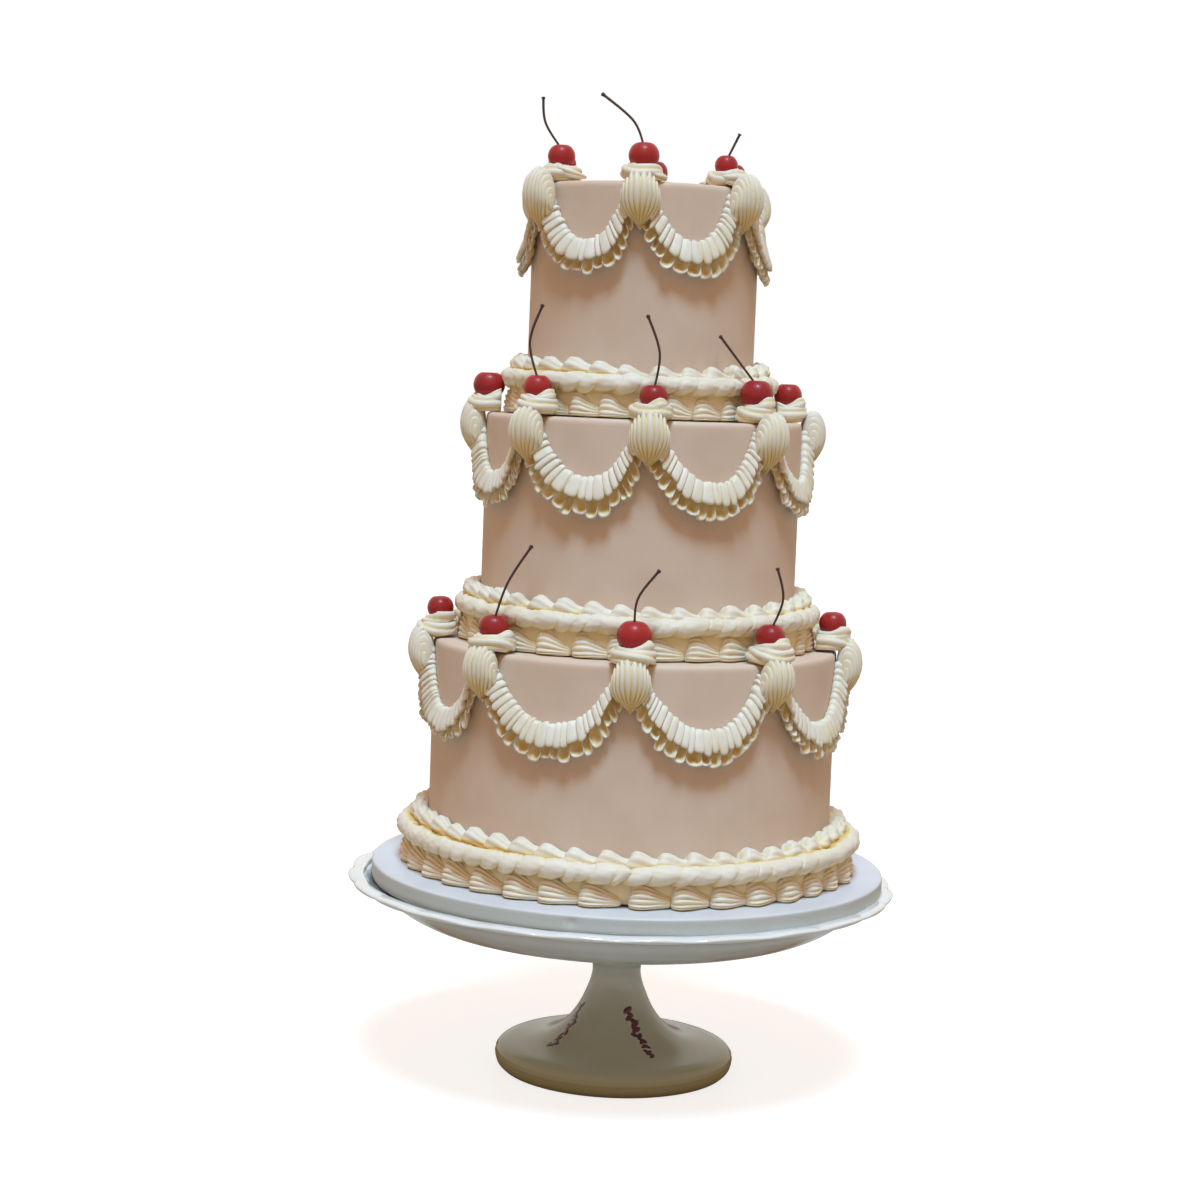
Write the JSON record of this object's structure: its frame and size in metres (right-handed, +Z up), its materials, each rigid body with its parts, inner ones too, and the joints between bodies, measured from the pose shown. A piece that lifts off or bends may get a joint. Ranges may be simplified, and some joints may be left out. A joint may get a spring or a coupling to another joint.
{
  "type": "tiered wedding cake",
  "caption": "Tiered round wedding cake with piped buttercream borders, garlands, shells and rosettes topped with cherries, on a board on a porcelain pedestal stand.",
  "frame": {"origin": "centre of the stand's foot on the surface it stands on", "axes": "+Z up through the tiers, -Y the front, +X to the right seen from the front"},
  "size_m": [0.324, 0.324, 0.5732],
  "materials": {
    "porcelain": "bluish white glaze",
    "board": "satin white covered board",
    "icing": "smooth matte pinkish beige icing",
    "buttercream": "piped cream with a soft sheen",
    "cherry": "wet deep red skin, dark stem"
  },
  "bodies": {
    "root": {"stand": "porcelain", "drum": "board", "tier_bottom": "icing", "border_bottom": "buttercream", "garland_bottom": "buttercream", "rosette_bottom_1": "buttercream", "cherry_bottom_1": "cherry", "rosette_bottom_2": "buttercream", "cherry_bottom_2": "cherry", "rosette_bottom_3": "buttercream", "cherry_bottom_3": "cherry", "rosette_bottom_4": "buttercream", "cherry_bottom_4": "cherry", "rosette_bottom_5": "buttercream", "cherry_bottom_5": "cherry", "rosette_bottom_6": "buttercream", "cherry_bottom_6": "cherry", "rosette_bottom_7": "buttercream", "cherry_bottom_7": "cherry", "rosette_bottom_8": "buttercream", "cherry_bottom_8": "cherry", "rosette_bottom_9": "buttercream", "cherry_bottom_9": "cherry", "tier_middle": "icing", "border_middle": "buttercream", "garland_middle": "buttercream", "rosette_middle_1": "buttercream", "cherry_middle_1": "cherry", "rosette_middle_2": "buttercream", "cherry_middle_2": "cherry", "rosette_middle_3": "buttercream", "cherry_middle_3": "cherry", "rosette_middle_4": "buttercream", "cherry_middle_4": "cherry", "rosette_middle_5": "buttercream", "cherry_middle_5": "cherry", "rosette_middle_6": "buttercream", "cherry_middle_6": "cherry", "rosette_middle_7": "buttercream", "cherry_middle_7": "cherry", "rosette_middle_8": "buttercream", "cherry_middle_8": "cherry", "tier_top": "icing", "border_top": "buttercream", "garland_top": "buttercream", "rosette_top_1": "buttercream", "cherry_top_1": "cherry", "rosette_top_2": "buttercream", "cherry_top_2": "cherry", "rosette_top_3": "buttercream", "cherry_top_3": "cherry", "rosette_top_4": "buttercream", "cherry_top_4": "cherry", "rosette_top_5": "buttercream", "cherry_top_5": "cherry", "rosette_top_6": "buttercream", "cherry_top_6": "cherry"}
  },
  "joints": []
}
